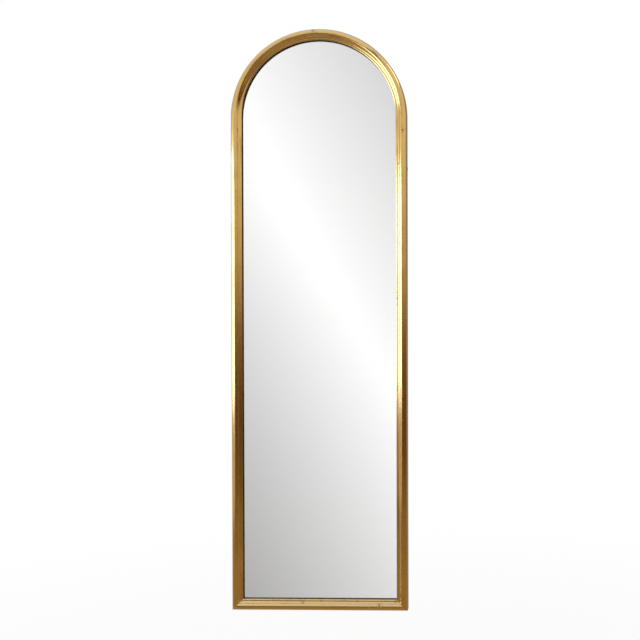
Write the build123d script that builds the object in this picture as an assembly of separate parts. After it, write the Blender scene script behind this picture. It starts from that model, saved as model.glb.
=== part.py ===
from build123d import *
import math
import os

# Arched wall mirror, in millimetres.
# X runs along the wall, Y into the wall and Z up. The mirror faces -Y and the wall's face is Y = 0.
# The origin lies on the wall, halfway between the two hooks, at the height where the rings bear on them.

os.makedirs("parts", exist_ok=True)

# The frame over all
frame_width = 458.0
frame_height = 1500.0
leg_length = 28.0  # straight leg of the arch below its spring line
hook_drop = 93.0  # from the foot of the arch's leg down to where the rings bear on the hooks
wall_standoff = 6.0  # from the wall to the frame's flat back
left_corner_radius = 1.0  # the bottom corners, one hardly worn and one knocked round
right_corner_radius = 3.0

# The moulding's section, from the outer side to the sight edge
flank_radius = 12.0
shoulder_width = 6.0
shoulder_drop = 2.8
quirk_width = 0.8
quirk_drop = 1.4
cove_width = 5.7
cove_drop = 3.6
cove_hollow = 1.1
bead_width = 3.2
bead_drop = 1.7
bead_bulge = 1.5
sight_fillet_width = 1.3
sight_edge_height = 4.5
lip_width = 8.0  # how far the lip reaches over the rebate

# What lies in the rebate, from the lip back
glass_thickness = 4.0
silvering_thickness = 0.1
pad_thickness = 2.75
backboard_thickness = 6.0
layer_gap = 0.05  # between two layers
glass_play = 2.5  # between the glass's edge and the rebate
board_play = 1.0  # the same for the pad and the backboard
wedge_length = 30.0
wedge_depth = 3.4
rail_wedge_spacing = 220.0
low_wedge_height = 300.0
high_wedge_height = 1000.0

# The loose tongues in the joints
key_width = 12.0
key_thickness = 4.0
key_length = 24.0
mitre_key_width = 10.0
mitre_key_length = 14.0
key_fit = 0.1  # round a key's sides
key_end_gap = 0.5

# Screws
screw_tip = 3.0
screw_slot_width = 0.9
screw_slot_depth = 0.8
screw_rim = 0.5  # straight rim of a head, below its dome
pilot_gap = 0.05
pilot_end_gap = 0.5
button_screw = {"length": 14.0, "shank": 1.75, "head": 3.4, "height": 2.3}
hanger_screw = {"length": 14.0, "shank": 2.0, "head": 3.8, "height": 2.4}
bumper_screw = {"length": 11.0, "shank": 1.75, "head": 3.4, "height": 2.3}

# Turn buttons
button_heel_radius = 6.5
button_nose_radius = 4.5
button_reach = 19.5  # from the screw to the nose's centre
button_thickness = 1.6
button_edge = 0.35
button_lift = 0.3  # off the frame's back, and again under the screw's head
button_hole_play = 0.1
low_button_height = 150.0  # from the frame's bottom edge
high_button_drop = 100.0  # from the hooks down
stile_levels = ("low", "middle", "high")  # evenly spaced
arch_button_angle = 22.5  # from the crown, each way

# Hangers
strap_width = 11.6
strap_length = 37.0  # below the ring's pivot
strap_thickness = 1.0
strap_hole_play = 0.15
first_hole_drop = 21.0
hole_pitch = 10.0
wire_radius = 1.5
ring_play = 0.1  # round the ring's bar in the strap's eye
ring_inner_width = 14.0
ring_side = 6.0  # from the bar's centre line up to where the bow starts
ring_corner_radius = 2.5
ring_rest_gap = 0.3  # where the ring lies on the frame or on its strap

# Bumpers
bumper_height_up = 40.0  # from the frame's bottom edge
bumper_base_radius = 8.0
bumper_top_radius = 7.2
bumper_bore_play = 0.25
counterbore_radius = 4.2
counterbore_depth = 3.4

# Worked out from the sizes above
half_width = frame_width / 2
joint_z = hook_drop
spring_z = joint_z + leg_length
bottom_z = spring_z + half_width - frame_height
back_y = -wall_standoff

backboard_v = 0.0
pad_v = backboard_v + backboard_thickness + layer_gap
silvering_v = pad_v + pad_thickness + layer_gap
glass_v = silvering_v + silvering_thickness + layer_gap
rebate_depth = glass_v + glass_thickness
moulding_width = flank_radius + shoulder_width + quirk_width + cove_width + bead_width + sight_fillet_width
moulding_drop = shoulder_drop + quirk_drop + cove_drop + bead_drop
sight_fillet_v = rebate_depth + sight_edge_height
moulding_depth = sight_fillet_v + moulding_drop
rebate_u = moulding_width - lip_width
back_centre = rebate_u / 2  # middle of the flat back that takes the screws

eye_inner_radius = wire_radius + ring_play
eye_outer_radius = eye_inner_radius + strap_thickness
bow_radius = ring_inner_width / 2 + wire_radius
ring_height = ring_side + bow_radius
ring_lean = math.degrees(math.asin((eye_outer_radius - wire_radius - ring_rest_gap) / ring_height))
pivot_z = -(ring_height - wire_radius) * math.cos(math.radians(ring_lean))
hanger_x = half_width - back_centre

# Two directions are used all through: u runs in from the outer side, v from the flat back to the front.
back_plane = Plane(origin=(0, back_y, 0), x_dir=(1, 0, 0), z_dir=(0, -1, 0))
arch_axis = Axis((0, back_y, spring_z), (0, -1, 0))


def bulge_arc(start, end, bulge):
    # An arc whose middle stands off its chord by bulge, to the left of the way from start to end.
    chord = Vector(*end) - Vector(*start)
    middle = (Vector(*start) + Vector(*end)) / 2
    out = Vector(-chord.Y, chord.X).normalized()
    return ThreePointArc(start, middle + out * bulge, end)


def moulding_section():
    crest = (flank_radius, moulding_depth)
    arris = (crest[0] + shoulder_width, crest[1] - shoulder_drop)
    quirk = (arris[0] + quirk_width, arris[1] - quirk_drop)
    cove_foot = (quirk[0] + cove_width, quirk[1] - cove_drop)
    bead_foot = (cove_foot[0] + bead_width, cove_foot[1] - bead_drop)
    side_top = (0, moulding_depth - flank_radius)
    sight_top = (moulding_width, sight_fillet_v)
    lip_edge = (moulding_width, rebate_depth)
    rebate_corner = (rebate_u, rebate_depth)
    return make_face(
        [
            Line((0, 0), side_top),
            TangentArc(side_top, crest, tangent=(0, 1)),
            TangentArc(crest, arris, tangent=(1, 0)),
            Line(arris, quirk),
            bulge_arc(quirk, cove_foot, -cove_hollow),
            bulge_arc(cove_foot, bead_foot, bead_bulge),
            Line(bead_foot, sight_top),
            Line(sight_top, lip_edge),
            Line(lip_edge, rebate_corner),
            Line(rebate_corner, (rebate_u, 0)),
            Line((rebate_u, 0), (0, 0)),
        ]
    )


def right_side_plane(z):
    return Plane(origin=(half_width, back_y, z), x_dir=(-1, 0, 0), z_dir=(0, 0, 1))


def prism(points, depth=moulding_depth):
    # A block through the frame from back to front, with its outline given as (x, z) points.
    outline = make_face(Polyline(*points, close=True))
    return extrude(back_plane * outline, depth)


def worn_corner(side, radius):
    # The sliver outside a rounded bottom corner.
    x = side * (half_width - radius / 2)
    square = Pos(x, bottom_z + radius / 2) * Rectangle(radius, radius)
    disc = Pos(side * (half_width - radius), bottom_z + radius) * Circle(radius)
    return extrude(back_plane * (square - disc), moulding_depth)


def on_back(x, z, turn=0.0):
    # A place on the frame's flat back: local Z points to the wall, local X the way that turn says.
    way = (math.cos(math.radians(turn)), 0, math.sin(math.radians(turn)))
    return Plane(origin=(x, back_y, z), x_dir=way, z_dir=(0, 1, 0)).location


def button_places():
    places = {"bottom": (0.0, bottom_z + back_centre, 90.0)}
    lowest = bottom_z + low_button_height
    pitch = (-high_button_drop - lowest) / (len(stile_levels) - 1)
    for step, level in enumerate(stile_levels):
        z = lowest + step * pitch
        places["left_" + level] = (-hanger_x, z, 0.0)
        places["right_" + level] = (hanger_x, z, 180.0)
    for side, name in ((1, "arch_right"), (-1, "arch_left")):
        angle = 90.0 - side * arch_button_angle
        x = hanger_x * math.cos(math.radians(angle))
        z = spring_z + hanger_x * math.sin(math.radians(angle))
        places[name] = (x, z, angle + 180.0)
    return places


def hanger_holes():
    drops = (first_hole_drop, first_hole_drop + hole_pitch)
    return [(side * hanger_x, pivot_z - drop) for side in (-1, 1) for drop in drops]


def bumper_places():
    return [(side * hanger_x, bottom_z + bumper_height_up) for side in (-1, 1)]


def screw_seats():
    # Every screw: its place on the back, how far its head's underside stands off the back, and its sizes.
    button_seat = 2 * button_lift + button_thickness
    strap_seat = 2 * strap_thickness
    bumper_seat = wall_standoff - counterbore_depth
    buttons = [(on_back(*place) * Pos(0, 0, button_seat), button_screw) for place in button_places().values()]
    hangers = [(on_back(*place) * Pos(0, 0, strap_seat), hanger_screw) for place in hanger_holes()]
    bumpers = [(on_back(*place) * Pos(0, 0, bumper_seat), bumper_screw) for place in bumper_places()]
    return buttons, hangers, bumpers


def wood_screw(sizes):
    # Round head on local Z = 0, shank down from it.
    tip = (0, -sizes["length"])
    shank_foot = (sizes["shank"], screw_tip - sizes["length"])
    rim = (sizes["head"], screw_rim)
    top = (0, sizes["height"])
    half = make_face(
        [
            Line(tip, shank_foot),
            Line(shank_foot, (sizes["shank"], 0)),
            Line((sizes["shank"], 0), (sizes["head"], 0)),
            Line((sizes["head"], 0), rim),
            TangentArc(top, rim, tangent=(1, 0)),
            Line(top, tip),
        ]
    )
    body = revolve(Plane.XZ * half, Axis.Z)
    slot_floor = sizes["height"] - screw_slot_depth
    slot = Pos(0, 0, slot_floor + sizes["height"] / 2) * Box(
        3 * sizes["head"], screw_slot_width, sizes["height"]
    )
    return body - slot


def screws(seats):
    return Compound([place * wood_screw(sizes) for place, sizes in seats])


def pilot_holes():
    holes = []
    for place, sizes in [seat for group in screw_seats() for seat in group]:
        depth = sizes["length"] + pilot_end_gap
        hole = Pos(0, 0, -depth / 2) * Cylinder(sizes["shank"] + pilot_gap, depth)
        holes.append(place * hole)
    return holes


def key_block(place, width, length, gap=0.0, end_gap=0.0):
    return place * Box(width + 2 * gap, key_thickness + 2 * gap, length + 2 * end_gap)


def key_places():
    # Local X crosses the moulding and local Z crosses the joint. The keys lie midway through the wood.
    y = back_y - moulding_depth / 2 + flank_radius / 4
    places = {}
    for name, angle in (("right_haunch", 45.0), ("crown", 90.0), ("left_haunch", 135.0)):
        c, s = math.cos(math.radians(angle)), math.sin(math.radians(angle))
        centre = (hanger_x * c, y, spring_z + hanger_x * s)
        places[name + "_key"] = Plane(origin=centre, x_dir=(c, 0, s), z_dir=(-s, 0, c)).location
    for name, side in (("left", -1), ("right", 1)):
        stile = (side * hanger_x, y, joint_z)
        corner = (side * hanger_x, y, bottom_z + back_centre)
        places[name + "_stile_key"] = Plane(origin=stile, x_dir=(1, 0, 0), z_dir=(0, 0, 1)).location
        places[name + "_mitre_key"] = Plane(origin=corner, x_dir=(side, 0, -1), z_dir=(side, 0, 1)).location
    return places


def key_sizes(name):
    return (mitre_key_width, mitre_key_length) if "mitre" in name else (key_width, key_length)


def key_slots():
    return [
        key_block(place, *key_sizes(name), key_fit, key_end_gap) for name, place in key_places().items()
    ]


def stile(side, corner_radius):
    run = extrude(right_side_plane(bottom_z) * moulding_section(), joint_z - bottom_z)
    outer, inner = half_width, half_width - moulding_width
    outline = [(outer, bottom_z), (outer, joint_z), (inner, joint_z), (inner, bottom_z + moulding_width)]
    solid = run & prism(outline)
    if side < 0:
        solid = mirror(solid, about=Plane.YZ)
    return solid - worn_corner(side, corner_radius)


def bottom_rail():
    end = Plane(origin=(-half_width, back_y, bottom_z), x_dir=(0, 0, 1), z_dir=(1, 0, 0))
    run = extrude(end * moulding_section(), frame_width)
    inner, top = half_width - moulding_width, bottom_z + moulding_width
    solid = run & prism([(-half_width, bottom_z), (half_width, bottom_z), (inner, top), (-inner, top)])
    return solid - worn_corner(-1, left_corner_radius) - worn_corner(1, right_corner_radius)


def arch_upper():
    # The right upper segment, from 45 degrees to the crown.
    section = (right_side_plane(spring_z) * moulding_section()).rotate(arch_axis, 45)
    return revolve(section, arch_axis, 45)


def arch_lower():
    # The right lower segment: a straight leg and an eighth of the circle.
    leg = extrude(right_side_plane(joint_z) * moulding_section(), leg_length)
    bend = revolve(right_side_plane(spring_z) * moulding_section(), arch_axis, 45)
    return leg + bend


def frame_members():
    members = {
        "left_stile": stile(-1, left_corner_radius),
        "right_stile": stile(1, right_corner_radius),
        "bottom_rail": bottom_rail(),
        "arch_right_lower": arch_lower(),
        "arch_right_upper": arch_upper(),
        "arch_left_lower": mirror(arch_lower(), about=Plane.YZ),
        "arch_left_upper": mirror(arch_upper(), about=Plane.YZ),
    }
    cuts = pilot_holes() + key_slots()
    return {name: drilled(member, cuts) for name, member in members.items()}


def drilled(member, cuts):
    reach = member.bounding_box()
    for cut in cuts:
        if reach.overlaps(cut.bounding_box()):
            member = member - cut
    return member


def keys():
    return {name: key_block(place, *key_sizes(name)) for name, place in key_places().items()}


def arched_plate(play, v, thickness):
    # A sheet with the rebate's outline, smaller by play all round.
    half = half_width - rebate_u - play
    foot = bottom_z + rebate_u + play
    outline = make_face(
        [
            Line((-half, spring_z), (-half, foot)),
            Line((-half, foot), (half, foot)),
            Line((half, foot), (half, spring_z)),
            ThreePointArc((half, spring_z), (0, spring_z + half), (-half, spring_z)),
        ]
    )
    return extrude(back_plane.offset(v) * outline, thickness)


def glass_wedges():
    # Two under the glass and two at each side, each filling the play.
    centre_u = rebate_u + glass_play / 2
    y = back_y - glass_v - glass_thickness / 2
    low = [
        Pos(x, y, bottom_z + centre_u) * Box(wedge_length, wedge_depth, glass_play)
        for x in (-rail_wedge_spacing / 2, rail_wedge_spacing / 2)
    ]
    side = [
        Pos(sign * (half_width - centre_u), y, bottom_z + height) * Box(glass_play, wedge_depth, wedge_length)
        for sign in (-1, 1)
        for height in (low_wedge_height, high_wedge_height)
    ]
    return Compound(low + side)


def turn_button():
    heel = Circle(button_heel_radius)
    nose = Pos(button_reach, 0) * Circle(button_nose_radius)
    outline = make_hull(heel.edges() + nose.edges())
    hole = Circle(button_screw["shank"] + button_hole_play)
    plate = extrude(outline - hole, button_thickness)
    rims = plate.faces().sort_by(Axis.Z)[-1].outer_wire().edges()
    return Pos(0, 0, button_lift) * chamfer(rims, button_edge)


def turn_buttons():
    return {
        "turn_button_" + name: on_back(*place) * turn_button() for name, place in button_places().items()
    }


def hanger_strap(side):
    # One strip folded round the ring's bar, with both leaves screwed down together.
    x = side * hanger_x
    leaves = Pos(x, back_y + strap_thickness, pivot_z - strap_length / 2) * Box(
        strap_width, 2 * strap_thickness, strap_length
    )
    feet = leaves.edges().filter_by(Axis.Y).group_by(Axis.Z)[0]
    leaves = fillet(feet, strap_width / 2 - strap_thickness)
    eye_place = Pos(x, back_y + eye_outer_radius, pivot_z) * Rot(0, 90, 0)
    eye = eye_place * Cylinder(eye_outer_radius, strap_width)
    bore = eye_place * Cylinder(eye_inner_radius, 2 * strap_width)
    strap = leaves + eye - bore
    for hole_x, hole_z in hanger_holes():
        if hole_x * side > 0:
            hole = Cylinder(hanger_screw["shank"] + strap_hole_play, 6 * strap_thickness)
            strap = strap - on_back(hole_x, hole_z) * hole
    return strap


def hanger_ring(side):
    # A D of round wire. It stands up from the strap's eye and leans on the frame.
    low = bow_radius - ring_corner_radius
    path = Wire(
        [
            Plane.XZ * edge
            for edge in (
                Line((-low, 0), (low, 0)),
                TangentArc((low, 0), (bow_radius, ring_corner_radius), tangent=(1, 0)),
                Line((bow_radius, ring_corner_radius), (bow_radius, ring_side)),
                ThreePointArc((bow_radius, ring_side), (0, ring_height), (-bow_radius, ring_side)),
                Line((-bow_radius, ring_side), (-bow_radius, ring_corner_radius)),
                TangentArc((-bow_radius, ring_corner_radius), (-low, 0), tangent=(0, -1)),
            )
        ]
    )
    section = Plane(origin=path @ 0, z_dir=path % 0) * Circle(wire_radius)
    ring = sweep(section, path=path)
    return Pos(side * hanger_x, back_y + eye_outer_radius, pivot_z) * Rot(ring_lean, 0, 0) * ring


def bumper(place):
    base, top = bumper_base_radius, bumper_top_radius
    seat = wall_standoff - counterbore_depth
    bore = bumper_screw["shank"] + bumper_bore_play
    half = make_face(
        Polyline(
            (bore, 0),
            (base, 0),
            (top, wall_standoff),
            (counterbore_radius, wall_standoff),
            (counterbore_radius, seat),
            (bore, seat),
            close=True,
        )
    )
    return on_back(*place) * revolve(Plane.XZ * half, Axis.Z)


def every_part():
    button_seats, hanger_seats, bumper_seats = screw_seats()
    left_place, right_place = bumper_places()
    parts = frame_members()
    parts.update(keys())
    parts.update(
        mirror_glass=arched_plate(glass_play, glass_v, glass_thickness),
        mirror_silvering=arched_plate(glass_play, silvering_v, silvering_thickness),
        backing_pad=arched_plate(board_play, pad_v, pad_thickness),
        backboard=arched_plate(board_play, backboard_v, backboard_thickness),
        glass_wedges=glass_wedges(),
        turn_button_screws=screws(button_seats),
        left_hanger_strap=hanger_strap(-1),
        right_hanger_strap=hanger_strap(1),
        left_hanger_ring=hanger_ring(-1),
        right_hanger_ring=hanger_ring(1),
        hanger_screws=screws(hanger_seats),
        left_bumper=bumper(left_place),
        right_bumper=bumper(right_place),
        bumper_screws=screws(bumper_seats),
    )
    parts.update(turn_buttons())
    return parts


for part_name, shape in every_part().items():
    export_step(shape, "parts/" + part_name + ".step")
    print(part_name, round(shape.volume, 1))

print("moulding", round(moulding_width, 2), "wide,", round(moulding_depth, 2), "deep")
print("ring lean", round(ring_lean, 3), "degrees, pivot at z", round(pivot_z, 3))
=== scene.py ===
import math
from functools import partial

import bmesh
import bpy
from mathutils import Matrix, Vector, noise
from mathutils.bvhtree import BVHTree


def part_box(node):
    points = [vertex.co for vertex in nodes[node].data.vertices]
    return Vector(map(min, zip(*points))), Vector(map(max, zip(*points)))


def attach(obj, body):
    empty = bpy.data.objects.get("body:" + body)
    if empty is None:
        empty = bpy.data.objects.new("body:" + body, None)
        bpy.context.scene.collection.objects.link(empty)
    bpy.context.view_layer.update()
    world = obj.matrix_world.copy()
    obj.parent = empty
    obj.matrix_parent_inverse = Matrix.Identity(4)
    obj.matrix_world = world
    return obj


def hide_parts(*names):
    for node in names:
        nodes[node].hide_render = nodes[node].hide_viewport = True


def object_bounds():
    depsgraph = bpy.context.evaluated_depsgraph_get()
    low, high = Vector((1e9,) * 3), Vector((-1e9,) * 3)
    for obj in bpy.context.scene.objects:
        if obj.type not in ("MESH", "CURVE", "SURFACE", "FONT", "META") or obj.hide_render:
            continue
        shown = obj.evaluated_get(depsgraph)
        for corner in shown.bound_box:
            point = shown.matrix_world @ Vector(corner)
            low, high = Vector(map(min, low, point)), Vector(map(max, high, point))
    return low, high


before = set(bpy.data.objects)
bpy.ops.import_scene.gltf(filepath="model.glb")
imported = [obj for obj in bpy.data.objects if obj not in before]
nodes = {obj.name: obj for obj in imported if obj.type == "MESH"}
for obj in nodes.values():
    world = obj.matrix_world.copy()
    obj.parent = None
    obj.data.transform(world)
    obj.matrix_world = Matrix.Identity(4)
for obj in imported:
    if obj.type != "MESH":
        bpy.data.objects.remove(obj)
cadLow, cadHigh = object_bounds()
mm = 0.001
samePlace = 1e-7  # metres: points nearer to each other than this are one

# Places taken from the CAD model. X runs along the wall, Y into it, and the mirror faces -Y.
railLow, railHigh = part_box("bottom_rail")
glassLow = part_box("mirror_glass")[0]
halfWidth = railHigh.x
bottomZ = railLow.z
backY = railHigh.y
crestY = railLow.y
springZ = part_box("arch_right_upper")[1].z - halfWidth
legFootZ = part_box("arch_right_lower")[0].z
middleZ = (cadLow.z + cadHigh.z) / 2
railBreadth = (railHigh.z - railLow.z) / mm


# Helpers for colours and nodes

def linear(hexColour, gain=1.0):  # an sRGB hex colour as Blender's linear one
    parts = [int(hexColour[i:i + 2], 16) / 255 for i in (1, 3, 5)]
    return [gain * (p / 12.92 if p <= 0.04045 else ((p + 0.055) / 1.055) ** 2.4) for p in parts] + [1.0]


def addNode(tree, kind, *values, sockets=None, **settings):
    # Adds a node and sets it up. The values fill its sockets in order, and sockets fills some by name.
    # A value that is a node links that node's first output.
    node = tree.nodes.new("ShaderNode" + kind)
    for name, setting in settings.items():
        setattr(node, name, setting)
    filled = list(zip([s for s in node.inputs if s.enabled], values))
    filled += [(node.inputs[name], value) for name, value in (sockets or {}).items()]
    for socket, value in filled:
        if isinstance(value, bpy.types.Node):
            value = next(s for s in value.outputs if s.enabled)
        if isinstance(value, bpy.types.NodeSocket):
            tree.links.new(value, socket)
        else:
            socket.default_value = value
    return node


def newMaterial(name):
    material = bpy.data.materials.new(name)
    material.use_nodes = True
    material.node_tree.nodes.clear()
    return material, partial(addNode, material.node_tree)


def assign(nodeNames, material):
    for name in nodeNames:
        data = nodes[name].data
        data.materials.clear()
        data.materials.append(material)


# The moulding: its section in mm, u in from the outer side and v from the flat back to the front

moulding = {
    "flankRadius": 12.0,
    "shoulder": (6.0, -2.8),
    "quirk": (0.8, -1.4),
    "cove": (5.7, -3.6),
    "coveHollow": 0.8,
    "bead": (4.5, -1.7),
    "beadBulge": 0.45,
    "lip": 8.0,
    "chords": {"flank": 16, "shoulder": 7, "cove": 9, "bead": 9},  # in each arc of the section
    "softening": 0.25,  # the gesso rounds every corner by about this much
    "cornerTurn": 24.0,  # degrees: a smaller turn of the section is no corner
    "ringStep": 4.5,  # between two rings of the swept mesh
    "unevenness": 0.12,  # how far the hand-laid gesso falls short of the true section
    "meanSink": 0.5,  # the share of this that is there everywhere
    "waves": ((90.0, 22.0, 0.5), (34.0, 9.0, 0.15)),  # its rise and fall: length, width and share
    "seeds": {"right": 1.0, "left": 4.0, "rail": 8.0},
    "markShift": 1000.0,  # along the moulding per seed, so that no two members are marked alike
    "rubReach": 1.6,  # how far round a high place the gold is rubbed
    "foulReach": 1.1,  # how far round a hollow the toning lies
    "hollowGrime": 0.6,
    "plainDepth": 13.5,  # up to here from the back, the wood was only planed
    "jointGap": 0.03,  # half of the hairline where two members meet
    "leftCornerRadius": 1.0,
    "rightCornerRadius": 3.0,
    "cornerCuts": 5,  # saw cuts that round a bottom corner
    "creaseTurn": 38.0,  # degrees: shading breaks at edges sharper than this
    "backSlack": 0.05,  # a face as near to the flat back as this is part of it
    "acrossSlack": 0.01,  # the same, round the section
    "pastLip": 1.0,  # farther round than this from the lip's edge, a face lies in the rebate
}


def arcPoints(start, end, bulge, steps):
    # points of the arc whose middle stands off its chord by bulge, to the left of the way from start to end
    chord = end - start
    turn = 4 * math.atan(2 * bulge / chord.length)
    radius = chord.length / (2 * math.sin(turn / 2))
    left = Vector((-chord.y, chord.x)).normalized()
    centre = (start + end) / 2 + left * (bulge - radius)
    arm = start - centre
    return [centre + Matrix.Rotation(-turn * i / steps, 2) @ arm for i in range(steps + 1)]


def sectionCorners():
    depth = (backY - crestY) / mm
    rebateDepth = (backY - glassLow.y) / mm
    flank = moulding["flankRadius"]
    crest = Vector((flank, depth))
    arris = crest + Vector(moulding["shoulder"])
    quirkFoot = arris + Vector(moulding["quirk"])
    coveFoot = quirkFoot + Vector(moulding["cove"])
    return {
        "back": Vector((0, 0)),
        "sideTop": Vector((0, depth - flank)),
        "crest": crest,
        "arris": arris,
        "quirkFoot": quirkFoot,
        "coveFoot": coveFoot,
        "sightTop": coveFoot + Vector(moulding["bead"]),
        "lipEdge": Vector((railBreadth, rebateDepth)),
        "rebateCorner": Vector((railBreadth - moulding["lip"], rebateDepth)),
        "rebateFoot": Vector((railBreadth - moulding["lip"], 0)),
    }


def sectionPoints(corner):
    flank = moulding["flankRadius"]
    chords = moulding["chords"]
    shoulder = corner["arris"] - corner["crest"]
    shoulderRadius = shoulder.length_squared / (2 * -shoulder.y)
    shoulderBulge = shoulderRadius - math.sqrt(shoulderRadius ** 2 - shoulder.length_squared / 4)
    flankBulge = flank * (1 - math.cos(math.pi / 4))
    points = [corner["rebateFoot"], corner["back"]]
    points += arcPoints(corner["sideTop"], corner["crest"], flankBulge, chords["flank"])
    points += arcPoints(corner["crest"], corner["arris"], shoulderBulge, chords["shoulder"])[1:]
    points += arcPoints(corner["quirkFoot"], corner["coveFoot"], -moulding["coveHollow"], chords["cove"])
    points += arcPoints(corner["coveFoot"], corner["sightTop"], moulding["beadBulge"], chords["bead"])[1:]
    points += [corner["lipEdge"], corner["rebateCorner"]]
    return points


def nearness(point, places, reach):
    return min(1.0, sum(math.exp(-((point - place).length / reach) ** 2) for place in places))


def mouldingOutline(bm, toFrame):
    # The section as a closed loop of edges. Each vertex keeps how far round the section it lies, and how much
    # it is rubbed or fouled, for the gilding to read.
    corner = sectionCorners()
    loop = [bm.verts.new((p.x, p.y, 0)) for p in sectionPoints(corner)]
    face = bm.faces.new(loop)
    sharp = [v for v in face.verts if turnAt(v, face) > math.radians(moulding["cornerTurn"])]
    bmesh.ops.bevel(bm, geom=sharp, offset=moulding["softening"], segments=3, profile=0.5,
                    affect="VERTICES", material=-1)
    bm.faces.ensure_lookup_table()
    face = bm.faces[0]
    across = bm.verts.layers.float.new("across")
    wear = bm.verts.layers.float.new("wear")
    toningAndHoleShade = bm.verts.layers.float.new("toningAndHoleShade")
    bm.verts.layers.float.new("along")
    ring = list(face.verts)
    first = min(range(len(ring)), key=lambda i: (ring[i].co.xy - corner["rebateFoot"]).length)
    ring = ring[first:] + ring[:first]
    run = 0.0
    highSpots = [corner["arris"], corner["crest"], (corner["coveFoot"] + corner["sightTop"]) / 2]
    hollows = [corner["quirkFoot"], corner["coveFoot"]]
    for i, vert in enumerate(ring):
        if i:
            run += (vert.co - ring[i - 1].co).length
        vert[across] = run
        vert[wear] = nearness(vert.co.xy, highSpots, moulding["rubReach"])
        vert[toningAndHoleShade] = moulding["hollowGrime"] * nearness(vert.co.xy, hollows, moulding["foulReach"])
    edges = list(face.edges)
    bmesh.ops.delete(bm, geom=[face], context="FACES_ONLY")
    for vert in ring:
        vert.co = toFrame(vert.co.x * mm, vert.co.y * mm)
    return ring + edges


def turnAt(vert, face):
    before, after = [e.other_vert(vert).co - vert.co for e in vert.link_edges]
    return math.pi - before.angle(after)


def sweep(bm, geom, steps, angle=0.0, centre=(0, 0, 0), axis=(0, 0, 1), shift=(0, 0, 0)):
    return bmesh.ops.spin(bm, geom=geom, cent=centre, axis=axis, dvec=shift, angle=angle, steps=steps,
                          space=Matrix.Identity(4), use_merge=False, use_normal_flip=False,
                          use_duplicate=False)


def uprightRun():
    # The right half of the moulding in one piece, from below the mitre up to the crown.
    bm = bmesh.new()
    outline = mouldingOutline(bm, lambda u, v: Vector((halfWidth - u, backY - v, springZ)))
    step = moulding["ringStep"] * mm
    archSteps = 2 * round(math.pi / 4 * halfWidth / step)
    sweep(bm, outline, archSteps, angle=math.pi / 2, centre=(0, backY, springZ), axis=(0, -1, 0))
    start = [v for v in bm.verts if abs(v.co.z - springZ) < samePlace and v.co.x > 0]
    startEdges = [e for e in bm.edges if all(v in set(start) for v in e.verts)]
    straight = springZ - bottomZ
    straightSteps = round(straight / step)
    sweep(bm, start + startEdges, straightSteps, shift=(0, 0, -straight / straightSteps))
    along = bm.verts.layers.float["along"]
    middleRadius = halfWidth - moulding["flankRadius"] * mm
    for vert in bm.verts:
        if vert.co.z < springZ:
            vert[along] = (vert.co.z - bottomZ) / mm
        else:
            turn = math.atan2(vert.co.z - springZ, vert.co.x)
            vert[along] = (straight + turn * middleRadius) / mm
    return bm


def railRun():
    bm = bmesh.new()
    outline = mouldingOutline(bm, lambda u, v: Vector((-halfWidth, backY - v, bottomZ + u)))
    steps = round(2 * halfWidth / mm / moulding["ringStep"])
    sweep(bm, outline, steps, shift=(2 * halfWidth / steps, 0, 0))
    along = bm.verts.layers.float["along"]
    for vert in bm.verts:
        vert[along] = (vert.co.x + halfWidth) / mm
    return bm


def onFront(vert):
    return vert.co.y < backY - moulding["plainDepth"] * mm


def settle(bm, seed):
    # Gesso laid and rubbed down by hand is never quite true: the front sinks a little here and there.
    bmesh.ops.recalc_face_normals(bm, faces=bm.faces)
    bm.normal_update()
    along = bm.verts.layers.float["along"]
    across = bm.verts.layers.float["across"]
    for vert in filter(onFront, bm.verts):
        sink = moulding["meanSink"]
        for length, width, share in moulding["waves"]:
            sink += share * noise.noise(Vector((vert[along] / length, vert[across] / width, seed)))
        vert.co -= vert.normal * moulding["unevenness"] * mm * max(0.0, sink)
    for vert in bm.verts:
        vert[along] += seed * moulding["markShift"]


def cutOff(bm, point, normal):
    # Saws the run at a plane and closes the cut. What lies on the normal's side falls away.
    geom = list(bm.verts) + list(bm.edges) + list(bm.faces)
    cut = bmesh.ops.bisect_plane(bm, geom=geom, dist=samePlace, plane_co=point, plane_no=normal,
                                 clear_outer=True)
    rim = [e for e in cut["geom_cut"] if isinstance(e, bmesh.types.BMEdge) and e.is_boundary]
    if rim:
        bmesh.ops.holes_fill(bm, edges=rim, sides=0)


def roundCorner(bm, side, radius):
    # The bottom corners of the frame are knocked round.
    centre = Vector((side * (halfWidth - radius * mm), 0, bottomZ + radius * mm))
    for i in range(moulding["cornerCuts"]):
        angle = math.radians(90 * (i + 0.5) / moulding["cornerCuts"])
        out = Vector((side * math.cos(angle), 0, -math.sin(angle)))
        cutOff(bm, centre + out * radius * mm, out)


# Marks left by age, as places on the frame's front in mm. Each starts with x from the middle and the height
# above the bottom edge.

# Patches rubbed down to the bole, and patches of thick toning. Then come half of the length along the
# moulding, half of the width across it, and how strong they are.
rubbedPatches = [
    (146.0, 1434.0, 18.0, 4.0, 1.7),
    (-191.0, 1355.0, 20.0, 4.0, 1.6),
    (-60.0, 1474.0, 16.0, 3.0, 1.2),
    (-207.0, 37.0, 7.0, 1.6, 1.6),
    (220.0, 42.0, 12.0, 2.4, 1.3),
    (-214.0, 560.0, 9.0, 3.0, 0.9),
]
tonedPatches = [
    (-209.0, 1241.0, 8.0, 3.0, 1.0),
    (-213.0, 1084.0, 10.0, 4.0, 0.7),
    (214.0, 1080.0, 12.0, 4.0, 0.7),
    (218.0, 1238.0, 6.0, 3.5, 1.0),
    (130.0, 1444.0, 12.0, 4.0, 1.0),
    (45.0, 1478.0, 26.0, 2.2, 1.1),
    (-160.0, 1398.0, 60.0, 3.0, 0.7),
    (63.0, 25.5, 14.0, 2.0, 1.3),
    (-88.0, 19.5, 14.0, 1.3, 1.2),
    (222.0, 4.0, 8.0, 3.0, 1.0),
]

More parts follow.
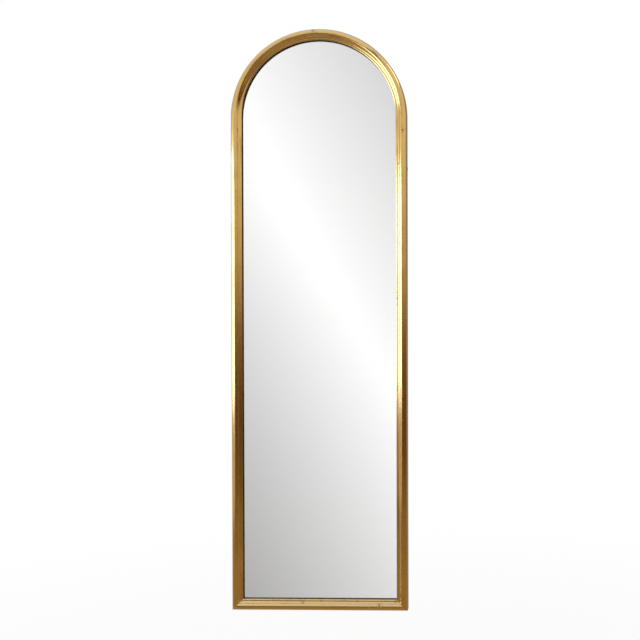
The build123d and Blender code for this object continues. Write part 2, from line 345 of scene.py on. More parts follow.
# Worm holes, chips and dents. Then come the width, the height and the depth.
wormHoles = [
    (154.8, 16.0, 2.2, 6.0, 2.2),
    (124.5, 10.3, 2.2, 2.2, 2.0),
    (196.5, 25.3, 4.6, 3.0, 1.8),
    (98.0, 25.3, 2.4, 2.0, 1.4),
    (4.5, 25.2, 2.4, 1.8, 1.2),
    (-43.5, 20.5, 2.4, 1.8, 1.4),
]
stileHoles = [
    (217.5, 1238.0, 1.8, 2.4, 1.2),
    (205.8, 1152.6, 1.6, 1.8, 1.0),
]
crownDents = [(-12.0, 1494.5, 3.2, 2.6, 1.2)]

boring = {
    "edgeLimits": (2.0, 1.0, 0.5, 0.3),  # mm: the edges near a hole are halved down to these lengths in turn
    "rim": 1.3,  # in the hole's radii: so far out the gold is darkened with umber
    "clean": 1.6,  # in radii: here that darkening would have run out
    "toningAndHoleShade": 4.0,  # painted shade inside a hole: well above the value of any patch
    "skin": 6.0,  # mm: nothing lies farther behind the front that is moved with it
}


def mark(bm, layerName, patches, side=0):
    # Raises a layer's value round each patch. A side of -1 or 1 takes only the patches on that side of the
    # mirror, and works on the right half, which stands for both.
    layer = bm.verts.layers.float[layerName]
    along = bm.verts.layers.float["along"]
    across = bm.verts.layers.float["across"]
    front = list(filter(onFront, bm.verts))
    for x, height, halfLength, halfBreadth, strength in patches:
        if x * side < 0:
            continue
        place = Vector((abs(x) if side else x, height)) * mm + Vector((0, bottomZ))
        middle = min(front, key=lambda vert: (vert.co.xz - place).length)
        middleAlong, middleAcross = middle[along], middle[across]
        for vert in front:
            off = math.hypot((vert[along] - middleAlong) / halfLength,
                             (vert[across] - middleAcross) / halfBreadth)
            vert[layer] += strength * math.exp(-off * off)


def drill(bm, holes):
    # Sinks each hole into the front and raises the layer there: inside the hole the gilding paints it dark as
    # shade, and round its rim the gold is darkened with umber.
    toningAndHoleShade = bm.verts.layers.float["toningAndHoleShade"]
    for x, height, width, tall, depth in holes:
        before = Vector((x * mm, -1, bottomZ + height * mm))
        spot = BVHTree.FromBMesh(bm).ray_cast(before, Vector((0, 1, 0)))[0]
        reach = max(width, tall) * mm
        about = reach + moulding["ringStep"] * mm
        for limit in boring["edgeLimits"]:
            near = [e for e in bm.edges if (e.verts[0].co - spot).length < about
                    and e.calc_length() > limit * mm and (nearestOnEdge(e, spot) - spot).length < reach]
            if near:
                bmesh.ops.subdivide_edges(bm, edges=near, cuts=1, use_grid_fill=True)
        bm.normal_update()
        for vert in bm.verts:
            away = vert.co - spot
            radial = math.hypot(away.x * 2 / (width * mm), away.z * 2 / (tall * mm))
            if abs(away.y) < boring["skin"] * mm and radial < boring["rim"]:
                vert.co.y += depth * mm * max(0.0, 1 - radial ** 4)
                vert[toningAndHoleShade] = max(vert[toningAndHoleShade], boring["toningAndHoleShade"] * min(1.0, boring["clean"] - radial))


def nearestOnEdge(edge, point):
    a, b = (v.co for v in edge.verts)
    along = b - a
    share = max(0.0, min(1.0, (point - a).dot(along) / max(along.length_squared, 1e-12)))
    return a + along * share


def frameMember(name, bm, materials):
    bmesh.ops.recalc_face_normals(bm, faces=bm.faces)
    across = bm.verts.layers.float["across"]
    slack = moulding["acrossSlack"]
    for face in bm.faces:
        face.smooth = True
        flatBack = all(v.co.y > backY - moulding["backSlack"] * mm for v in face.verts)
        inRebate = all(v[across] < slack or v[across] > lipStart + moulding["pastLip"] for v in face.verts)
        onSightEdge = all(sightStart - slack < v[across] < lipStart + slack for v in face.verts)
        sawn = len(face.verts) > 4  # one face closes a cut
        face.material_index = 2 if onSightEdge else int(flatBack or inRebate or sawn)
    mesh = bpy.data.meshes.new(name + "Gilded")
    bm.to_mesh(mesh)
    bm.free()
    mesh.set_sharp_from_angle(angle=math.radians(moulding["creaseTurn"]))
    piece = bpy.data.objects.new(name + "_gilded", mesh)
    bpy.context.scene.collection.objects.link(piece)
    for material in materials:
        mesh.materials.append(material)
    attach(piece, "frame")
    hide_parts(name)
    return piece


def wayRound(name):
    # how far round the section, from the foot of the rebate, a named corner lies
    bm = bmesh.new()
    mouldingOutline(bm, lambda u, v: Vector((u, v, 0)))
    across = bm.verts.layers.float["across"]
    place = (corner[name] * mm).to_3d()
    nearest = min(bm.verts, key=lambda vert: (vert.co - place).length)
    found = nearest[across]
    bm.free()
    return found


corner = sectionCorners()
sightStart = wayRound("sightTop")
lipStart = wayRound("lipEdge")
sideTop = wayRound("sideTop")


# Water gilding: gold leaf burnished on red clay bole over gesso. It is a metal film a tenth of a micron
# thick, so it follows every brush mark below it, and it is rubbed through to the bole on the high places.
gilding = {
    "gold": "#F0C775",
    "deepGold": "#DCA048",  # where the leaf is thin and the bole warms it
    "bole": "#7A3B22",
    "umber": "#33230F",  # toning left in the hollows; at half strength, the painted shade inside the drilled holes
    "sightBrownAndShade": "#38281A",  # the sight edge is painted dark, so that the glass doesn't double the gold; partly painted shade of the gap at the glass
    "ochre": "#A98A5C",  # the sides are only washed with ochre size
    "dust": "#CFC2A4",  # lies on what faces up
    "leafSide": 78.0,  # laid in squares of 80 mm, lapped by 2
    "lapWander": 6.0,
    "lapWidth": 0.6,
    "streak": (150.0, 1.6),  # brush marks of the bole: length and width
    "patch": (70.0, 30.0),
    "grit": (4.5, 3.0),
    "speckPitch": 11.0,
    "speckShare": 0.26,  # of the cells have a speck
    "speckRim": (0.05, 0.03),  # its soft rim, in cells
    "rubbedThrough": (0.80, 1.0, 0.0, 0.9),  # from and to what wear, and from and to what share of bole
    "toned": (0.4, 1.1, 0.0, 0.75),  # likewise for the umber
    "dusted": (0.15, 0.65, 0.0, 0.55),  # from and to what slope, and what share of dust
    "drilled": (2.2, 2.8),  # only inside the drilled holes is the value this high, and there the gold is painted dark as shade
    "washEdge": 3.5,  # how far up the flank the wash's ragged edge wanders
    "roughness": 0.16,
}


def gildedMaterial():
    material, add = newMaterial("burnishedGoldLeafOnBole")
    along = add("Attribute", attribute_name="along").outputs["Fac"]
    across = add("Attribute", attribute_name="across").outputs["Fac"]
    wear = add("Attribute", attribute_name="wear").outputs["Fac"]
    toningAndHoleShade = add("Attribute", attribute_name="toningAndHoleShade").outputs["Fac"]
    place = add("CombineXYZ", along, across)
    patterns = {}
    for name, shift in (("streak", 0.0), ("patch", 3.0), ("grit", 9.0)):
        length, width = gilding[name]
        scaled = add("Mapping", place, (shift, shift, 0), (0, 0, 0), (1 / length, 1 / width, 1))
        patterns[name] = add("TexNoise", sockets={"Vector": scaled, "Scale": 1.0, "Detail": 4.0,
                                                  "Roughness": 0.6})
    streak, patch, grit = patterns["streak"], patterns["patch"], patterns["grit"]

    # where one square of leaf laps over the next, two thicknesses of gold lie
    wander = add("Math", patch, gilding["lapWander"], along, operation="MULTIPLY_ADD")
    inLeaf = add("Math", wander, gilding["leafSide"] / 2, operation="PINGPONG")
    lap = add("MapRange", inLeaf, gilding["lapWidth"] * 1.5, gilding["lapWidth"] * 0.5)

    # rubbed through to the bole, most on the high places
    rubbed = add("Math", grit, 0.5, add("Math", patch, 0.8, operation="MULTIPLY"), operation="MULTIPLY_ADD")
    rubbed = add("Math", wear, 0.16, rubbed, operation="MULTIPLY_ADD")
    rub = add("MapRange", rubbed, *gilding["rubbedThrough"], interpolation_type="SMOOTHSTEP")

    # brown specks
    speckMap = add("Mapping", place, (0, 0, 0), (0, 0, 0), [1 / gilding["speckPitch"]] * 3)
    cell = add("TexVoronoi", sockets={"Vector": speckMap, "Scale": 1.0}, voronoi_dimensions="2D")
    draw = add("SeparateColor", cell.outputs["Color"])
    chosen = add("Math", draw, 1 - gilding["speckShare"], operation="GREATER_THAN")
    spot = add("MapRange", cell.outputs["Distance"], *gilding["speckRim"])
    speck = add("Math", spot, chosen, operation="MULTIPLY")

    # umber toning, left where the cloth didn't reach; the same umber darkens the rims of the drilled holes
    foul = add("Math", patch, 0.5, add("Math", toningAndHoleShade, 0.55, operation="MULTIPLY"), operation="MULTIPLY_ADD")
    foul = add("MapRange", foul, *gilding["toned"], interpolation_type="SMOOTHSTEP")

    inPatch = add("MapRange", patch, 0.35, 0.7)
    warm = add("Math", inPatch, add("MapRange", streak, 0.35, 0.7), operation="MULTIPLY")
    gold = add("Mix", warm, linear(gilding["gold"]), linear(gilding["deepGold"]), data_type="RGBA")
    colour = add("Mix", add("Math", lap, 0.3, operation="MULTIPLY"), gold, linear(gilding["deepGold"]),
                 data_type="RGBA")
    colour = add("Mix", rub, colour, linear(gilding["bole"]), data_type="RGBA")
    colour = add("Mix", foul, colour, linear(gilding["umber"]), data_type="RGBA")
    colour = add("Mix", speck, colour, linear(gilding["umber"]), data_type="RGBA")

    # dust on what faces up
    up = add("SeparateXYZ", add("TexCoord").outputs["Normal"]).outputs["Z"]
    settled = add("MapRange", up, *gilding["dusted"], interpolation_type="SMOOTHSTEP")
    dusty = add("Math", settled, add("MapRange", patch, 0.25, 0.6, 0.35, 1.0), operation="MULTIPLY")
    colour = add("Mix", dusty, colour, linear(gilding["dust"]), data_type="RGBA")

    # painted shade: the inside of each drilled hole is coloured dark umber, as if no light came out of it
    holeShade = add("MapRange", toningAndHoleShade, *gilding["drilled"])
    colour = add("Mix", holeShade, colour, linear(gilding["umber"], 0.5), data_type="RGBA")

    # the dark of the sight edge, paint and partly painted shade, runs a little way on to the front, and the
    # outer side is washed with ochre from a ragged line down
    brushed = add("Math", grit, across, operation="ADD")
    sightPaintAndShadeLap = add("MapRange", brushed, sightStart - 0.3, sightStart + 0.2)
    colour = add("Mix", sightPaintAndShadeLap, colour, linear(gilding["sightBrownAndShade"]), data_type="RGBA")
    ragged = add("Math", grit, gilding["washEdge"] * 1.5, across, operation="MULTIPLY_ADD")
    washed = add("MapRange", ragged, sideTop + gilding["washEdge"], sideTop, interpolation_type="SMOOTHSTEP")
    stained = add("Math", patch, 0.35, operation="MULTIPLY")
    ochre = add("Mix", stained, linear(gilding["ochre"]), linear(gilding["bole"]), data_type="RGBA")
    colour = add("Mix", washed, colour, ochre, data_type="RGBA")

    # a thin film of toning only browns the metal, and a thick one hides it, as does the painted shade of the
    # holes
    washAndSightShade = add("Math", washed, sightPaintAndShadeLap, operation="MAXIMUM")
    film = add("Math", add("Math", rub, speck, operation="MAXIMUM"), foul, operation="MAXIMUM")
    film = add("Math", film, holeShade, operation="MAXIMUM")
    hidden = add("MapRange", film, 0.35, 0.85)
    hidden = add("Math", hidden, add("Math", washAndSightShade, dusty, operation="MAXIMUM"), operation="MAXIMUM")
    metal = add("Math", 1.0, hidden, operation="SUBTRACT")
    rough = add("Math", streak, 0.08, gilding["roughness"] - 0.04, operation="MULTIPLY_ADD")
    rough = add("Math", patch, 0.08, add("Math", rough, 0.04, operation="SUBTRACT"), operation="MULTIPLY_ADD")
    rough = add("Math", hidden, 0.35, rough, operation="MULTIPLY_ADD", use_clamp=True)
    height = add("Math", streak, 0.6, add("Math", grit, 0.1, operation="MULTIPLY"), operation="MULTIPLY_ADD")
    bump = add("Bump", sockets={"Height": height, "Strength": 0.2, "Distance": 0.05 * mm})

    # a thin coat of shellac makes the highlights paler than the gold
    shader = add("BsdfPrincipled", sockets={
        "Base Color": colour, "Metallic": metal, "Roughness": rough, "Normal": bump,
        "Coat Weight": 1.0, "Coat Roughness": 0.12, "Coat IOR": 1.53})
    add("OutputMaterial", shader)
    return material


def sightPaintAndShadeMaterial():
    # Brown-black distemper, dead matt; its dark is partly painted shade of the gap at the glass. Where the
    # sight edge faces up, it is grey with dust down to the strip beside the glass, which stays dark as
    # painted shade.
    material, add = newMaterial("mattSightPaintAndShade")
    across = add("Attribute", attribute_name="across").outputs["Fac"]
    place = add("TexCoord")
    thin = add("TexNoise", sockets={"Vector": place.outputs["Object"], "Scale": 160.0, "Detail": 4.0})
    colour = add("Mix", add("MapRange", thin, 0.4, 0.75), linear(gilding["sightBrownAndShade"]), linear("#57432A"),
                 data_type="RGBA")
    up = add("SeparateXYZ", place.outputs["Normal"]).outputs["Z"]
    settled = add("MapRange", up, 0.15, 0.65, 0.0, 0.75, interpolation_type="SMOOTHSTEP")
    # the strip beside the glass gets no dust and stays dark: painted shade of the gap at the glass
    outsideShadeStrip = add("MapRange", across, lipStart - 0.8, lipStart - 2.0)
    dusty = add("Math", settled, outsideShadeStrip, operation="MULTIPLY")
    colour = add("Mix", dusty, colour, linear(gilding["dust"]), data_type="RGBA")
    bump = add("Bump", sockets={"Height": thin, "Strength": 0.3, "Distance": 0.1 * mm})
    rough = add("MapRange", thin, 0.3, 0.7, 0.85, 0.95)
    shader = add("BsdfPrincipled", sockets={"Base Color": colour, "Roughness": rough, "Normal": bump,
                                            "Specular IOR Level": 0.15})
    add("OutputMaterial", shader)
    return material


def bareWoodMaterial():
    # Aged pine behind the gilding: open grain along the member, dusty and browned.
    material, add = newMaterial("agedPine")
    along = add("Attribute", attribute_name="along").outputs["Fac"]
    across = add("Attribute", attribute_name="across").outputs["Fac"]
    place = add("CombineXYZ", along, across)
    patterns = []
    for length, width, detail in ((90.0, 2.2, 5.0), (12.0, 0.35, 2.0), (60.0, 25.0, 4.0)):
        scaled = add("Mapping", place, (0, 0, 0), (0, 0, 0), (1 / length, 1 / width, 1))
        patterns.append(add("TexNoise", sockets={"Vector": scaled, "Scale": 1.0, "Detail": detail}))
    grain, pores, stain = patterns
    early = add("MapRange", grain, 0.35, 0.65, interpolation_type="SMOOTHSTEP")
    colour = add("Mix", early, linear("#9C7042"), linear("#C09560"), data_type="RGBA")
    deep = add("MapRange", pores, 0.5, 0.8, 0.0, 0.4)
    colour = add("Mix", deep, colour, linear("#6E4A28"), data_type="RGBA")
    stained = add("MapRange", stain, 0.5, 0.75, 0.0, 0.5)
    colour = add("Mix", stained, colour, linear("#75553A"), data_type="RGBA")
    bump = add("Bump", sockets={"Height": pores, "Strength": 0.3, "Distance": 0.15 * mm})
    rough = add("MapRange", grain, 0.2, 0.8, 0.62, 0.8)
    shader = add("BsdfPrincipled", sockets={"Base Color": colour, "Roughness": rough, "Normal": bump})
    add("OutputMaterial", shader)
    return material


def gildedFrame():
    coats = [gildedMaterial(), bareWoodMaterial(), sightPaintAndShadeMaterial()]
    gap = moulding["jointGap"] * mm
    flip = Matrix.Scale(-1, 4, (1, 0, 0))
    half = math.sqrt(0.5)  # of each side of a 45 degree normal
    pieces = []
    for side, sideName in ((1, "right"), (-1, "left")):
        radius = moulding[sideName + "CornerRadius"]
        cuts = {
            sideName + "_stile": [((0, 0, legFootZ), (0, 0, 1)),
                                  ((halfWidth, 0, bottomZ), (-half, 0, -half))],
            "arch_" + sideName + "_lower": [((0, 0, legFootZ), (0, 0, -1)),
                                            ((0, 0, springZ), (-half, 0, half))],
            "arch_" + sideName + "_upper": [((0, 0, springZ), (half, 0, -half)), ((0, 0, 0), (-1, 0, 0))],
        }
        run = uprightRun()
        settle(run, moulding["seeds"][sideName])
        mark(run, "wear", rubbedPatches, side)
        mark(run, "toningAndHoleShade", tonedPatches, side)
        for name, planes in cuts.items():
            bm = run.copy()
            for point, normal in planes:
                cutOff(bm, Vector(point) - Vector(normal) * gap, Vector(normal))
            if name.endswith("stile"):
                roundCorner(bm, 1, radius)
            if side < 0:
                bmesh.ops.transform(bm, matrix=flip, verts=bm.verts)
            if name == "right_stile":
                drill(bm, stileHoles)
            if name == "arch_left_upper":
                drill(bm, crownDents)
            pieces.append(frameMember(name, bm, coats))
        run.free()
    bm = railRun()
    settle(bm, moulding["seeds"]["rail"])
    mark(bm, "wear", [patch for patch in rubbedPatches if patch[1] < railBreadth])
    mark(bm, "toningAndHoleShade", [patch for patch in tonedPatches if patch[1] < railBreadth])
    for side in (-1, 1):
        cutOff(bm, Vector((side * halfWidth, 0, bottomZ)), Vector((side * half, 0, half)))
        roundCorner(bm, side, moulding["leftCornerRadius" if side < 0 else "rightCornerRadius"])
    drill(bm, wormHoles)
    pieces.append(frameMember("bottom_rail", bm, coats))
    faceCount = sum(len(piece.data.polygons) for piece in pieces)
    print("gilded frame:", len(pieces), "members,", faceCount, "faces")


gildedFrame()


# The mirror: float glass with silver on its back

def glassMaterial():
    # Clear 4 mm float glass.
    material, add = newMaterial("clearFloatGlass")
    shader = add("BsdfPrincipled", sockets={"Base Color": linear("#FEFEFE"), "Roughness": 0.0, "IOR": 1.52,
                                            "Transmission Weight": 1.0})
    add("OutputMaterial", shader)
    return material


def silverMaterial():
    # Chemically laid silver: a perfect mirror seen through the glass, a little lifted along its lowest edge.
    material, add = newMaterial("laidSilver")
    where = add("TexCoord").outputs["Object"]
    height = add("SeparateXYZ", where).outputs["Z"]
    spots = add("TexNoise", sockets={"Vector": where, "Scale": 90.0, "Detail": 5.0, "Roughness": 0.6})
    edge = add("MapRange", height, railHigh.z + 12 * mm, railHigh.z - 4 * mm)
    lifted = add("MapRange", add("Math", spots, edge, operation="MULTIPLY"), 0.42, 0.6, 0.0, 0.35)
    colour = add("Mix", lifted, linear("#FBFBFB"), linear("#8D8A84"), data_type="RGBA")
    shader = add("BsdfPrincipled", sockets={"Base Color": colour, "Metallic": 1.0, "Roughness": 0.0})
    add("OutputMaterial", shader)
    return material


assign(["mirror_glass"], glassMaterial())
assign(["mirror_silvering"], silverMaterial())
print("mirror: glass and silver")


# Woods and boards behind the mirror

def woodMaterial(name, pale, dark, ringWidth, roughness):
    # Straight-grained wood cut along the grain, with Z as its length.
    material, add = newMaterial(name)
    where = add("TexCoord").outputs["Object"]
    stretch = add("Mapping", where, (0, 0, 0), (0, 0, 0), (1, 1, 0.04))
    grain = add("TexNoise", sockets={"Vector": stretch, "Scale": 1 / (ringWidth * mm), "Detail": 5.0})
    pores = add("TexNoise", sockets={"Vector": stretch, "Scale": 6 / (ringWidth * mm), "Detail": 2.0})
    early = add("MapRange", grain, 0.3, 0.7)
    colour = add("Mix", early, linear(dark), linear(pale), data_type="RGBA")
    deep = add("MapRange", pores, 0.52, 0.72, 0.0, 0.6)
    colour = add("Mix", deep, colour, linear(dark, 0.72), data_type="RGBA")
    bump = add("Bump", sockets={"Height": pores, "Strength": 0.3, "Distance": 0.1 * mm})
    rough = add("MapRange", pores, 0.3, 0.7, roughness - 0.05, roughness + 0.08)
    shader = add("BsdfPrincipled", sockets={"Base Color": colour, "Roughness": rough, "Normal": bump})
    add("OutputMaterial", shader)
    return material


def boardMaterial():
    # Grey-brown pulp board: felted fibres, matt.
    material, add = newMaterial("pulpBoard")
    where = add("TexCoord").outputs["Object"]
    fibres = add("TexNoise", sockets={"Vector": where, "Scale": 700.0, "Detail": 4.0})
    colour = add("Mix", add("MapRange", fibres, 0.35, 0.65), linear("#75684F"), linear("#948468"),
                 data_type="RGBA")
    bump = add("Bump", sockets={"Height": fibres, "Strength": 0.3, "Distance": 0.1 * mm})
    rough = add("MapRange", fibres, 0.3, 0.7, 0.85, 0.95)
    shader = add("BsdfPrincipled", sockets={"Base Color": colour, "Roughness": rough, "Normal": bump})
    add("OutputMaterial", shader)
    return material


assign(["backboard"], woodMaterial("birchPlywood", "#C49A63", "#A87B48", 9.0, 0.6))
assign(["backing_pad"], boardMaterial())
assign(["glass_wedges"], woodMaterial("sawnSoftwood", "#CDAA74", "#AD8450", 3.0, 0.7))
assign([n for n in nodes if n.endswith("_key")], woodMaterial("planedBeech", "#C79F72", "#A97C50", 1.5, 0.5))


# Metal fittings and rubber

def brassMaterial():
    # Stamped brass, handled for years: bright on the rubbed places, browned elsewhere.
    material, add = newMaterial("dulledBrass")
    where = add("TexCoord").outputs["Object"]
    cloud = add("TexNoise", sockets={"Vector": where, "Scale": 260.0, "Detail": 5.0})
    fine = add("TexNoise", sockets={"Vector": where, "Scale": 1800.0, "Detail": 2.0})
    tarnish = add("MapRange", cloud, 0.42, 0.66, interpolation_type="SMOOTHSTEP")
    colour = add("Mix", tarnish, linear("#D9B25E"), linear("#8A6A35"), data_type="RGBA")
    both = add("Math", fine, 0.4, tarnish, operation="MULTIPLY_ADD")
    rough = add("MapRange", both, 0.0, 1.4, 0.28, 0.55)
    bump = add("Bump", sockets={"Height": fine, "Strength": 0.15, "Distance": 0.05 * mm})
    shader = add("BsdfPrincipled", sockets={"Base Color": colour, "Metallic": 1.0, "Roughness": rough,
                                            "Normal": bump})
    add("OutputMaterial", shader)
    return material


def steelMaterial():
    # Zinc-plated mild steel, its plating gone grey and blotched.
    material, add = newMaterial("zincPlatedSteel")
    where = add("TexCoord").outputs["Object"]
    cloud = add("TexNoise", sockets={"Vector": where, "Scale": 320.0, "Detail": 4.0})
    rust = add("TexNoise", sockets={"Vector": where, "Scale": 700.0, "Detail": 5.0})
    spots = add("MapRange", rust, 0.66, 0.74, 0.0, 0.6)
    plating = add("MapRange", cloud, 0.35, 0.65)
    colour = add("Mix", plating, linear("#B9BAB6"), linear("#93938D"), data_type="RGBA")
    colour = add("Mix", spots, colour, linear("#6B4429"), data_type="RGBA")
    rough = add("MapRange", cloud, 0.3, 0.7, 0.32, 0.48)
    rough = add("Math", spots, 0.5, rough, operation="MULTIPLY_ADD")
    metal = add("Math", 1.0, spots, operation="SUBTRACT")
    shader = add("BsdfPrincipled", sockets={"Base Color": colour, "Metallic": metal, "Roughness": rough})
    add("OutputMaterial", shader)
    return material


def rubberMaterial():
    # Moulded black rubber with a bloom of dust.
    material, add = newMaterial("mouldedRubber")
    where = add("TexCoord").outputs["Object"]
    dust = add("TexNoise", sockets={"Vector": where, "Scale": 420.0, "Detail": 4.0})
    bloom = add("MapRange", dust, 0.45, 0.8)
    colour = add("Mix", bloom, linear("#1E1D1C"), linear("#3D3A36"), data_type="RGBA")
    bump = add("Bump", sockets={"Height": dust, "Strength": 0.2, "Distance": 0.05 * mm})
    rough = add("MapRange", dust, 0.3, 0.7, 0.7, 0.85)
    shader = add("BsdfPrincipled", sockets={"Base Color": colour, "Roughness": rough, "Normal": bump})
    add("OutputMaterial", shader)
    return material


assign([n for n in nodes if n.startswith("turn_button")], brassMaterial())
assign([n for n in nodes if "hanger" in n or n == "bumper_screws"], steelMaterial())
assign(["left_bumper", "right_bumper"], rubberMaterial())
print("fittings: brass, steel and rubber")


# Stage, light and camera

stage = {
    "floorDrop": 0.30,  # the mirror hangs this far above the floor
    "floorRadius": 7.0,
    "floorSides": 64,
    "floorTone": "#F4F4F2",
    "shadowShare": 0.12,  # how much of the floor's white is real light, near the mirror
    "shadowReach": (1.6, 3.0),  # and it is gone over this way from the middle
}

# The soft lamp lights matt surfaces. The panels stand only in reflections: a tall bright one on the left,
# which runs far forward, a dim one right below it, and a small one high on the right.
lamps = {
    "softKey": {"place": (-1.6, -1.9, 0.9), "target": (0, 0, -0.4), "size": (1.6, 1.2), "radiance": 2.0,
                "tint": "#FFFFFF", "inGloss": False},
    "tallPanel": {"place": (-1.85, -1.25, -0.22), "target": (0.05, -0.65, -0.22), "size": (3.2, 1.2),
                  "radiance": 3.8, "tint": "#C0D8FF", "inGloss": True},
    "lowPanel": {"place": (-1.85, -1.25, -1.08), "target": (0.05, -0.65, -1.08), "size": (3.2, 0.5),
                 "radiance": 0.42, "tint": "#FFF0D6", "inGloss": True},
    "highPanel": {"place": (1.1, -0.15, 1.15), "target": (0.2, -0.02, 0.2), "size": (0.4, 0.4),
                  "radiance": 2.4, "tint": "#FFF6E4", "inGloss": True},
}

# What the flat glass shows: a smooth pale field, brightest along a slanting line and falling off to grey on
# both sides. Places are in px of the photograph's 640 x 640 frame.
glow = {
    "peakFrom": (250.0, 146.0),
    "peakTo": (390.0, 386.0),
    "peak": 256.0,
    "fallUpper": 0.30,  # grey levels lost per px towards the upper right
    "fallLower": 0.365,  # and towards the lower left
    "turn": 20.0,  # px over which the one goes over into the other
    "far": (280.0, 520.0),  # px off the line over which the fall gives way to one plain grey
    "farGrey": 216.0,
    "leastAhead": 0.05,  # rays that run nearly along the wall are taken to run off it by this much
    "gamma": 2.22,  # from grey levels to light
    "gain": 1.12,  # the silver and the glass keep back this much
}

# What the gilding sees beside the panels: browns low down and pale greys above, and the wall that the mirror
# hangs on. The tones stand at sines of the height above the horizon.
surroundings = {
    "tones": [(-1.0, "#9A8C7A"), (-0.75, "#9E8E7F"), (-0.55, "#8E8270"), (-0.34, "#948263"),
              (-0.265, "#9E8760"), (-0.22, "#93805F"), (-0.16, "#5D4C39"), (-0.10, "#4F3521"),
              (-0.05, "#5D3F27"), (0.0, "#7C614B"), (0.04, "#B3A799"), (0.09, "#CBC5BB"), (0.14, "#D6D3C8"),
              (0.19, "#E2E2E0"), (0.34, "#DADAD6"), (0.7, "#E8ECF2"), (1.0, "#E8ECF2")],
    "wallLeft": "#C6C4C1",
    "wallRight": "#8E8B98",
    "ambient": "#E6E6E6",
}

view = {
    "centrePx": (319.3, 320.25),
    "scale": 1.5 / 580.8,  # metres of the object to a px
    "distance": 2.45,
    "sideStep": 0.48,  # the camera stands this far to the right of the middle
    "lean": 0.1,  # degrees, as are the next two: it leans, is turned to the left and looks down a little
    "turn": 1.5,
    "nod": -0.4,
    "framePx": 640,
    "clip": (0.05, 60.0),
}


def studioFloor():
    bm = bmesh.new()
    bmesh.ops.create_circle(bm, cap_ends=True, segments=stage["floorSides"], radius=stage["floorRadius"])
    bmesh.ops.translate(bm, verts=bm.verts, vec=(0, 0, bottomZ - stage["floorDrop"]))
    mesh = bpy.data.meshes.new("studioFloor")
    bm.to_mesh(mesh)
    bm.free()
    floor = bpy.data.objects.new("studioFloor", mesh)
    bpy.context.scene.collection.objects.link(floor)
    material, add = newMaterial("paleFloorPaint")
    where = add("TexCoord").outputs["Object"]
    away = add("VectorMath", where, operation="LENGTH").outputs["Value"]
    nearEnd, farEnd = stage["shadowReach"]
    shadowed = add("MapRange", away, farEnd, nearEnd, 0.0, stage["shadowShare"],
                   interpolation_type="SMOOTHSTEP")
    plainShare = add("Math", 1.0, shadowed, operation="SUBTRACT")
    share = add("Math", add("LightPath").outputs["Is Camera Ray"], plainShare, operation="MULTIPLY")
    matt = add("BsdfDiffuse", linear(stage["floorTone"]))
    white = add("Emission", (1, 1, 1, 1), 1.0)
    add("OutputMaterial", add("MixShader", share, matt, white))
    mesh.materials.append(material)
    floor.visible_transmission = False
    floor.visible_glossy = False


def softLamp(name, settings):
    width, height = settings["size"]
    data = bpy.data.lights.new(name, "AREA")
    data.shape = "RECTANGLE"
    data.size, data.size_y = width, height
    data.energy = settings["radiance"] * math.pi * width * height
    data.color = linear(settings["tint"])[:3]
    lamp = bpy.data.objects.new(name, data)
    bpy.context.scene.collection.objects.link(lamp)
    lamp.location = settings["place"]
    direction = Vector(settings["target"]) - Vector(settings["place"])
    lamp.rotation_euler = direction.to_track_quat("-Z", "Y").to_euler()
    lamp.visible_camera = False
    lamp.visible_transmission = False
    lamp.visible_glossy = settings["inGloss"]
    lamp.visible_diffuse = not settings["inGloss"]


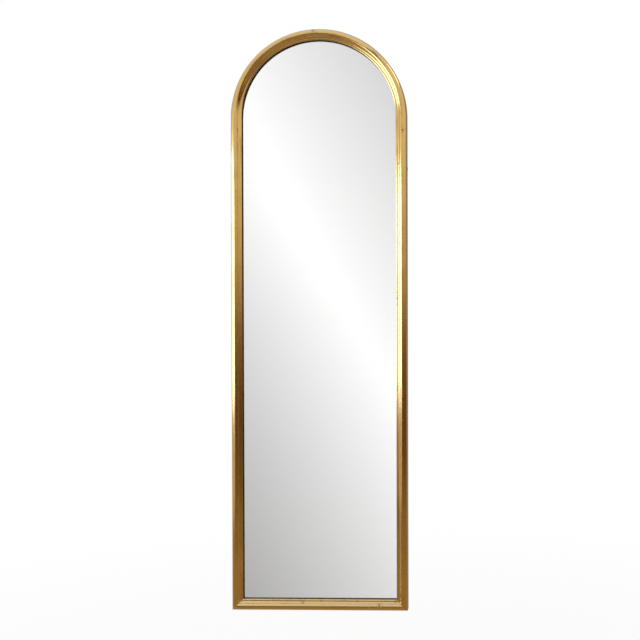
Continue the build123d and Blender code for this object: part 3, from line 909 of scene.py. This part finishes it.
def studioWorld():
    world = bpy.data.worlds.new("paleStudio")
    bpy.context.scene.world = world
    world.use_nodes = True
    world.node_tree.nodes.clear()
    add = partial(addNode, world.node_tree)
    ray = add("LightPath")
    x, y, z = add("SeparateXYZ", add("TexCoord").outputs["Generated"]).outputs

    # the flat glass: how far a place lies off the bright slanting line, in px
    ahead = add("Math", add("Math", y, operation="ABSOLUTE"), glow["leastAhead"], operation="MAXIMUM")
    sideways = add("Math", x, ahead, operation="DIVIDE")
    upwards = add("Math", z, ahead, operation="DIVIDE")
    lineX, lineY = (glow["peakTo"][i] - glow["peakFrom"][i] for i in (0, 1))
    acrossX, acrossY = lineY / math.hypot(lineX, lineY), -lineX / math.hypot(lineX, lineY)
    pxPerSlope = view["distance"] / view["scale"]
    eyeX = view["centrePx"][0] + view["sideStep"] / view["scale"] - glow["peakFrom"][0]
    eyeY = view["centrePx"][1] - glow["peakFrom"][1]
    eyeOff = eyeX * acrossX + eyeY * acrossY
    off = add("Math", sideways, pxPerSlope * acrossX, eyeOff, operation="MULTIPLY_ADD")
    off = add("Math", upwards, -pxPerSlope * acrossY, off, operation="MULTIPLY_ADD")
    upper = add("Math", off, 0.0, glow["turn"], operation="SMOOTH_MAX")
    offBelow = add("Math", off, -1.0, operation="MULTIPLY")
    lower = add("Math", offBelow, 0.0, glow["turn"], operation="SMOOTH_MAX")
    grey = add("Math", upper, -glow["fallUpper"], glow["peak"], operation="MULTIPLY_ADD")
    grey = add("Math", lower, -glow["fallLower"], grey, operation="MULTIPLY_ADD")
    distance = add("Math", off, operation="ABSOLUTE")
    far = add("MapRange", distance, *glow["far"], interpolation_type="SMOOTHSTEP")
    grey = add("Mix", far, grey, glow["farGrey"])
    tone = add("Math", add("Math", grey, 255.0, operation="DIVIDE"), glow["gamma"], operation="POWER")
    inGlass = add("Math", tone, glow["gain"], operation="MULTIPLY")

    # the gilding: tones by height, and the wall that the mirror hangs on
    level = add("MapRange", z, -1.0, 1.0)
    byHeight = add("ValToRGB", level)
    stops = byHeight.color_ramp.elements
    while len(stops) < len(surroundings["tones"]):
        stops.new(0.5)
    for stop, (sine, hexColour) in zip(stops, surroundings["tones"]):
        stop.position = (sine + 1) / 2
        stop.color = linear(hexColour)
    toRight = add("MapRange", x, -0.3, 0.3, interpolation_type="SMOOTHSTEP")
    leftTone, rightTone = linear(surroundings["wallLeft"]), linear(surroundings["wallRight"])
    wall = add("Mix", toRight, leftTone, rightTone, data_type="RGBA")
    toWall = add("MapRange", y, 0.0, 0.3, interpolation_type="SMOOTHSTEP")
    inGloss = add("Mix", toWall, byHeight, wall, data_type="RGBA")

    ambient = linear(surroundings["ambient"])
    plain = add("Mix", ray.outputs["Is Glossy Ray"], ambient, inGloss, data_type="RGBA")
    plain = add("Mix", ray.outputs["Is Transmission Ray"], plain, inGlass, data_type="RGBA")
    plain = add("Mix", ray.outputs["Is Camera Ray"], plain, (1, 1, 1, 1), data_type="RGBA")
    add("OutputWorld", add("Background", plain, 1.0))


def photoCamera():
    data = bpy.data.cameras.new("photoCamera")
    camera = bpy.data.objects.new("photoCamera", data)
    bpy.context.scene.collection.objects.link(camera)
    sideY = crestY + moulding["flankRadius"] * mm  # where the outline of the frame lies
    camera.location = (view["sideStep"], sideY - view["distance"], middleZ)
    camera.rotation_euler = [math.radians(angle) for angle in (90 + view["nod"], view["lean"], view["turn"])]
    # the lens and the shift set the object's middle at its place in the photograph, and at its size there
    middle = Vector((0, sideY, middleZ)) - camera.location
    middle.rotate(camera.rotation_euler.to_matrix().inverted())
    fieldWidth = view["scale"] * view["framePx"]
    offX, offY = (px - view["framePx"] / 2 for px in view["centrePx"])
    data.lens = data.sensor_width * -middle.z / fieldWidth
    data.shift_x = middle.x / fieldWidth - offX / view["framePx"]
    data.shift_y = middle.y / fieldWidth + offY / view["framePx"]
    data.clip_start, data.clip_end = view["clip"]
    bpy.context.scene.camera = camera


studioFloor()
for lampName, lampSettings in lamps.items():
    softLamp(lampName, lampSettings)
studioWorld()
photoCamera()
bpy.context.scene.view_settings.view_transform = "Standard"
print("stage, light and camera")
